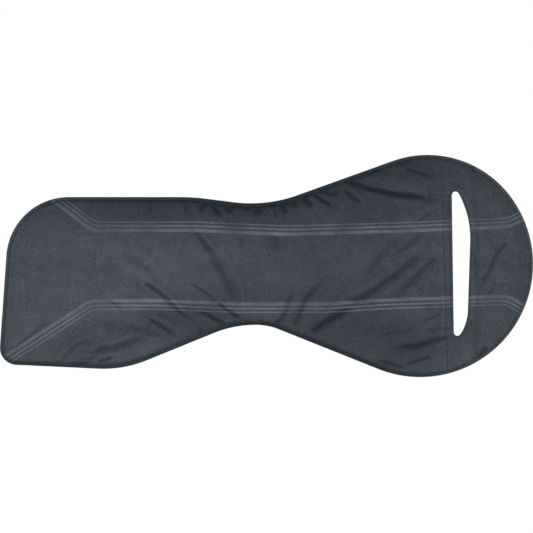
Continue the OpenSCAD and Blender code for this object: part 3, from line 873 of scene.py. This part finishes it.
def bent_line(corners):
    """Points and left-hand normals, evenly spaced along a line with rounded bends."""
    pts = [np.array(c[:2], float) for c in corners]
    path = [pts[0]]
    for a, b, c, radius in zip(pts, pts[1:], pts[2:], [c[2] for c in corners[1:-1]]):
        u, v = (b - a) / np.linalg.norm(b - a), (c - b) / np.linalg.norm(c - b)
        turn = math.atan2(u[0] * v[1] - u[1] * v[0], u @ v)
        cut = radius * abs(math.tan(turn / 2))
        side = math.copysign(1, turn)
        centre = b - u * cut + side * radius * np.array((-u[1], u[0]))
        start = math.atan2(*(b - u * cut - centre)[::-1])
        for t in np.linspace(0, turn, 12):
            path.append(centre + radius * np.array((math.cos(start + t), math.sin(start + t))))
    path.append(pts[-1])
    path = np.array(path)
    at = np.concatenate([[0], np.cumsum(np.linalg.norm(np.diff(path, axis=0), axis=1))])
    even = np.arange(0, at[-1], LINE_STEP)
    line = np.stack([np.interp(even, at, path[:, i]) for i in (0, 1)], 1)
    along = np.gradient(line, axis=0)
    for _ in range(6):
        along[1:-1] = (along[:-2] + along[1:-1] + along[2:]) / 3
    along /= np.linalg.norm(along, axis=1)[:, None]
    return line, np.stack([-along[:, 1], along[:, 0]], 1)


def stretches(track):
    """First and last number of each run of a track's points that lies on the cloth."""
    d, _ = RIM.nearest(track)
    e, _ = SLOT.nearest(track)
    on = (d > PRINT_RIM_GAP) & (-e > PRINT_SLOT_GAP)
    edges = np.flatnonzero(np.diff(np.concatenate([[0], on.astype(int), [0]])))
    return [(a, b - 1) for a, b in zip(edges[::2], edges[1::2]) if b - a > SHORTEST_RUN]


def ribbon(tracks, ends):
    """A closed thin ribbon of print over the cloth, between the ends of its tracks."""
    rows = max(2, int((ends[0][1] - ends[0][0]) * LINE_STEP / PRINT_STEP))
    points, across = [], len(tracks)
    for t in np.linspace(0, 1, rows):
        for track, (a, b) in zip(tracks, ends):
            at = a + (b - a) * t
            i = min(int(at), len(track) - 2)
            x, y = track[i] + (track[i + 1] - track[i]) * (at - i)
            z = height_on("front", x, y)
            points.append((x, y, z + PRINT_UP))
            points.append((x, y, z - PRINT_DOWN))
    top = lambda r, c: 2 * (r * across + c)
    low = lambda r, c: top(r, c) + 1
    faces = []
    for r in range(rows - 1):
        for c in range(across - 1):
            faces.append((top(r, c), top(r, c + 1), top(r + 1, c + 1), top(r + 1, c)))
            faces.append((low(r, c), low(r + 1, c), low(r + 1, c + 1), low(r, c + 1)))
        last = across - 1
        faces.append((top(r, 0), top(r + 1, 0), low(r + 1, 0), low(r, 0)))
        faces.append((top(r, last), low(r, last), low(r + 1, last), top(r + 1, last)))
    for c in range(across - 1):
        faces.append((top(0, c), low(0, c), low(0, c + 1), top(0, c + 1)))
        last = rows - 1
        faces.append((top(last, c), top(last, c + 1), low(last, c + 1), low(last, c)))
    return points, faces


def printed_stripe(name, corners, sign):
    """Three bands side by side. sign says on which side the fine band lies."""
    line, normal = bent_line(corners)
    points, faces = [], []
    for a, b in BANDS:
        offsets = np.linspace(a, b, 2 + int((b - a) / PRINT_ACROSS)) - BANDS[-1][1] / 2
        tracks = [line + sign * o * normal for o in offsets]
        if sign > 0:
            tracks.reverse()
        runs = [stretches(track) for track in tracks]
        for part in range(len(runs[0])):
            more, quads = ribbon(tracks, [run[part] for run in runs])
            faces += [tuple(i + len(points) for i in q) for q in quads]
            points += more
    return new_piece(name, points, faces, rounded=False)


upper_bands = printed_stripe("upper_bands", UPPER_LINE, 1)
lower_bands = printed_stripe("lower_bands", LOWER_LINE, -1)
# Shade painted into the colour of the front cloth and of the print
paint_shade_on(front, SHADE_PATCHES)
for piece in (upper_bands, lower_bands):
    paint_shade_on(piece, PRINT_TONES)

# Topstitching: the thread's radius, and the rings of one stitch, each (place along it, share
# of the radius, height)
THREAD_R, THREAD_UP = 0.28, 0.08
STITCH_RINGS = [(-1.8, 0.45, -0.36), (-1.25, 0.92, -0.03), (0, 1.0, 0.08), (1.25, 0.92, -0.03),
                (1.8, 0.45, -0.36)]
STITCH_SIDES = 6


def stitches(name, seam_lines, side):
    """Single stitches along seam lines, each a short bent piece of thread that lies between
    two needle holes."""
    points, faces = [], []
    up = 1 if side == "front" else -1
    for line in seam_lines:
        for i in range(1, len(line) - 1, STITCH_POINTS):
            x, y = (line[i] + line[i + 1]) / 2
            ux, uy = (line[i + 1] - line[i]) / np.linalg.norm(line[i + 1] - line[i])
            z = height_on(side, x, y)
            if z is None:
                continue
            first = len(points)
            for along, width, rise in STITCH_RINGS:
                for q in range(STITCH_SIDES):
                    a = 2 * math.pi * (q + 0.5) / STITCH_SIDES
                    off, lift = THREAD_R * width * math.cos(a), THREAD_R * width * math.sin(a)
                    points.append((x + ux * along - uy * off, y + uy * along + ux * off,
                                   z + up * (lift + rise + THREAD_UP)))
            n, last = STITCH_SIDES, len(STITCH_RINGS) - 1
            around = [(first + r * n + q, first + r * n + (q + 1) % n)
                      for r in range(last) for q in range(n)]
            made = [(a, a + n, b + n, b) for a, b in around]
            made.append(tuple(first + q for q in range(n)))
            made.append(tuple(first + last * n + q for q in reversed(range(n))))
            faces += made if up < 0 else [face[::-1] for face in made]
    return new_piece(name, points, faces)


def facing_seams():
    """The facing's two rows, in whole stitches that stop before the rim's own row."""
    lines = [np.stack([facing_left(SEAM_Y) + FACING_SEW, SEAM_Y], 1),
             np.stack([facing_right(SEAM_Y) - FACING_SEW, SEAM_Y], 1)]
    seams = []
    for line in lines:
        first = STITCH_POINTS * np.arange(len(line) // STITCH_POINTS)
        kept = first[RIM.nearest(line[first])[0] > STITCH_IN + 3]
        seams.append(line[kept[0]:kept[-1] + STITCH_POINTS])
    return seams


rim_seam = [RIM.inset(STITCH_IN)]
slot_seam = [SLOT.inset(-SLOT_STITCH_IN)]
threads = []
for side in ("front", "back"):
    threads.append(stitches(side + "_rim_thread", rim_seam, side))
    threads.append(stitches(side + "_slot_thread", slot_seam, side))
    threads.append(stitches(side + "_facing_thread", facing_seams(), side))


# Materials
class Wire:
    """A number on a socket. Its operators add Math nodes."""

    def __init__(self, paint, socket):
        self.paint, self.socket = paint, socket

    def __add__(self, other):
        return self.paint.math("ADD", self, other)

    def __radd__(self, other):
        return self.paint.math("ADD", other, self)

    def __sub__(self, other):
        return self.paint.math("SUBTRACT", self, other)

    def __rsub__(self, other):
        return self.paint.math("SUBTRACT", other, self)

    def __mul__(self, other):
        return self.paint.math("MULTIPLY", self, other)

    def __rmul__(self, other):
        return self.paint.math("MULTIPLY", other, self)


class Paint:
    """One material, built node by node."""

    def __init__(self, name):
        self.material = bpy.data.materials.new(name)
        self.material.use_nodes = True
        self.tree = self.material.node_tree
        self.tree.nodes.clear()

    def node(self, kind, settings=None, inputs=None):
        made = self.tree.nodes.new(kind)
        for key, value in (settings or {}).items():
            setattr(made, key, value)
        for key, value in (inputs or {}).items():
            if isinstance(value, Wire):
                self.tree.links.new(value.socket, made.inputs[key])
            else:
                made.inputs[key].default_value = value
        return made

    def out(self, made, key=0):
        return Wire(self, made.outputs[key])

    def math(self, operation, first, second=0.0):
        return self.out(self.node("ShaderNodeMath", {"operation": operation},
                                  {0: first, 1: second}))

    def mix(self, share, a, b):
        made = self.node("ShaderNodeMix", {"data_type": "RGBA"}, {0: share, 6: a, 7: b})
        return self.out(made, 2)

    def where(self):
        return self.out(self.node("ShaderNodeTexCoord"), "Object")

    def noise(self, place, scale, detail=2.0):
        return self.out(self.node("ShaderNodeTexNoise", None, {
            "Vector": place, "Scale": scale, "Detail": detail}), "Fac")

    def stretched(self, place, factors):
        return self.out(self.node("ShaderNodeVectorMath", {"operation": "MULTIPLY"},
                                  {0: place, 1: factors}))

    def finish(self, bsdf):
        self.node("ShaderNodeOutputMaterial", None, {"Surface": self.out(bsdf)})
        return self.material


# Pitch of the weave, depth of its relief, and how fine the cloth's slubs, mottle and worn
# patches are
WEAVE = 0.75 * MM
RELIEF = 0.12 * MM
SLUBS, MOTTLE, PATCHES = 880, 75, 26
# How dark and how dull the cloth is drawn where its painted shade is full
PAINTED_SHADE_COLOUR, SHADE_ROUGH = 0.2, 0.8


def weave(paint, place):
    """A plain weave: threads over and under each other, between 0 and 1."""
    parts = paint.node("ShaderNodeSeparateXYZ", None, {0: place})
    turn = 2 * math.pi / WEAVE
    wave = [paint.math("SINE", paint.out(parts, i) * turn) for i in (0, 1)]
    return wave[0] * wave[1] * 0.5 + 0.5


def cloth(name, colour, bump=0.6, spread=0.5, gloss=0.2, roughness=0.38, patchy=0):
    """Woven cloth: a fine weave, slubs in both directions, a faint mottle, worn patches
    where it is patchy, and shade painted into its colour in its folds, by its edges and seams."""
    paint = Paint(name)
    place = paint.where()
    over = weave(paint, place)
    slub_x = paint.noise(paint.stretched(place, (0.5, 1, 1)), SLUBS, 1)
    slub_y = paint.noise(paint.stretched(place, (1, 0.5, 1)), SLUBS, 1)
    mottle = paint.noise(place, MOTTLE, 3)
    share = (slub_x + slub_y) * 1.5 + mottle * 0.4 - 1.2 + over * 0.1
    if patchy:
        share = share + (paint.noise(place, PATCHES, 2) - 0.5) * patchy
    light = tuple(c * (1 + spread) for c in colour)
    dark = tuple(c * (1 - spread) for c in colour)
    # Painted shade, read from the pieces' points: it darkens the colour and makes the cloth
    # duller
    painted_shade = paint.out(paint.node("ShaderNodeAttribute", {"attribute_name": "painted_shade"}), "Fac")
    tone = paint.mix(share, (*dark, 1), (*light, 1))
    with_painted_shade = paint.mix(painted_shade, tone, (*(c * PAINTED_SHADE_COLOUR for c in colour), 1))
    height = over * 0.5 + slub_x * 0.8 + slub_y * 0.8
    normal = paint.node("ShaderNodeBump", None, {
        "Strength": bump, "Distance": RELIEF, "Height": height})
    bsdf = paint.node("ShaderNodeBsdfPrincipled", None, {
        "Base Color": with_painted_shade, "Roughness": painted_shade * SHADE_ROUGH + roughness,
        "Normal": paint.out(normal), "Specular IOR Level": gloss})
    return paint.finish(bsdf)


cover_cloth = cloth("cover_cloth", (0.0345, 0.0455, 0.0575))
facing_cloth = cloth("facing_cloth", (0.030, 0.040, 0.051))
tape_cloth = cloth("tape_cloth", (0.014, 0.015, 0.018), bump=0.9)
print_paint = cloth("stripe_print", (0.082, 0.090, 0.108), bump=0.4, spread=0.26, patchy=1.8)
thread_paint = cloth("sewing_thread", (0.056, 0.068, 0.081), bump=0.2, spread=0.1)

for piece, node, material, slot in [
    (front, "front_panel", cover_cloth, "cover_cloth"),
    (back, "back_panel", cover_cloth, "cover_cloth"),
    (front_facing, "front_slot_facing", facing_cloth, "facing_cloth"),
    (back_facing, "back_slot_facing", facing_cloth, "facing_cloth"),
    (upper_bands, "upper_stripe", print_paint, "stripe_print"),
    (lower_bands, "lower_stripe", print_paint, "stripe_print"),
]:
    piece.data.materials.append(material)
    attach(piece, "root")
    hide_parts(node)
for piece in threads:
    piece.data.materials.append(thread_paint)
    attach(piece, "root")
for obj in list(bpy.data.objects):
    if obj.name.startswith(("hook_tape", "loop_tape")):
        for place in obj.material_slots:
            place.material = tape_cloth


# Floor, lamp and sky, in metres
FLOOR_SIZE = 60
FLOOR_Z = -0.1 * MM
FLOOR_GLOW = 0.97
LAMP_PLACE, LAMP_SIZE, LAMP_POWER = (-0.1, -0.8, 2.2), (1.0, 0.6), 43
SKY = 0.35


def add_floor():
    """A matt floor that takes shadows. Looked at directly or in a gloss, it is white."""
    bpy.ops.object.select_all(action="DESELECT")
    bpy.ops.mesh.primitive_plane_add(size=FLOOR_SIZE, location=(0, 0, FLOOR_Z))
    floor = bpy.context.object
    floor.name = "floor"
    paint = Paint("pale_floor")
    path = paint.node("ShaderNodeLightPath")
    camera, glossy, through = (paint.out(path, "Is " + kind + " Ray")
                               for kind in ("Camera", "Glossy", "Transmission"))
    seen = paint.math("MAXIMUM", paint.math("MAXIMUM", camera, glossy), through)
    matt = paint.node("ShaderNodeBsdfDiffuse", None, {"Color": (0.9, 0.9, 0.9, 1)})
    glow = paint.node("ShaderNodeEmission", None, {"Color": (1, 1, 1, 1), "Strength": 1.0})
    both = paint.node("ShaderNodeMixShader", None, {
        0: seen * FLOOR_GLOW, 1: paint.out(matt), 2: paint.out(glow)})
    floor.data.materials.append(paint.finish(both))


def add_lamp():
    data = bpy.data.lights.new("softbox", "AREA")
    data.shape = "RECTANGLE"
    data.size, data.size_y = LAMP_SIZE
    data.energy = LAMP_POWER
    lamp = bpy.data.objects.new("softbox", data)
    lamp.visible_camera = False
    lamp.location = LAMP_PLACE
    lamp.rotation_euler = (-Vector(LAMP_PLACE)).to_track_quat("-Z", "Y").to_euler()
    bpy.context.scene.collection.objects.link(lamp)


def add_sky():
    world = bpy.data.worlds.new("studio")
    world.use_nodes = True
    sky = world.node_tree.nodes["Background"]
    sky.inputs["Color"].default_value = (1, 1, 1, 1)
    sky.inputs["Strength"].default_value = SKY
    bpy.context.scene.world = world


add_floor()
add_lamp()
add_sky()
bpy.context.scene.view_settings.view_transform = "Standard"
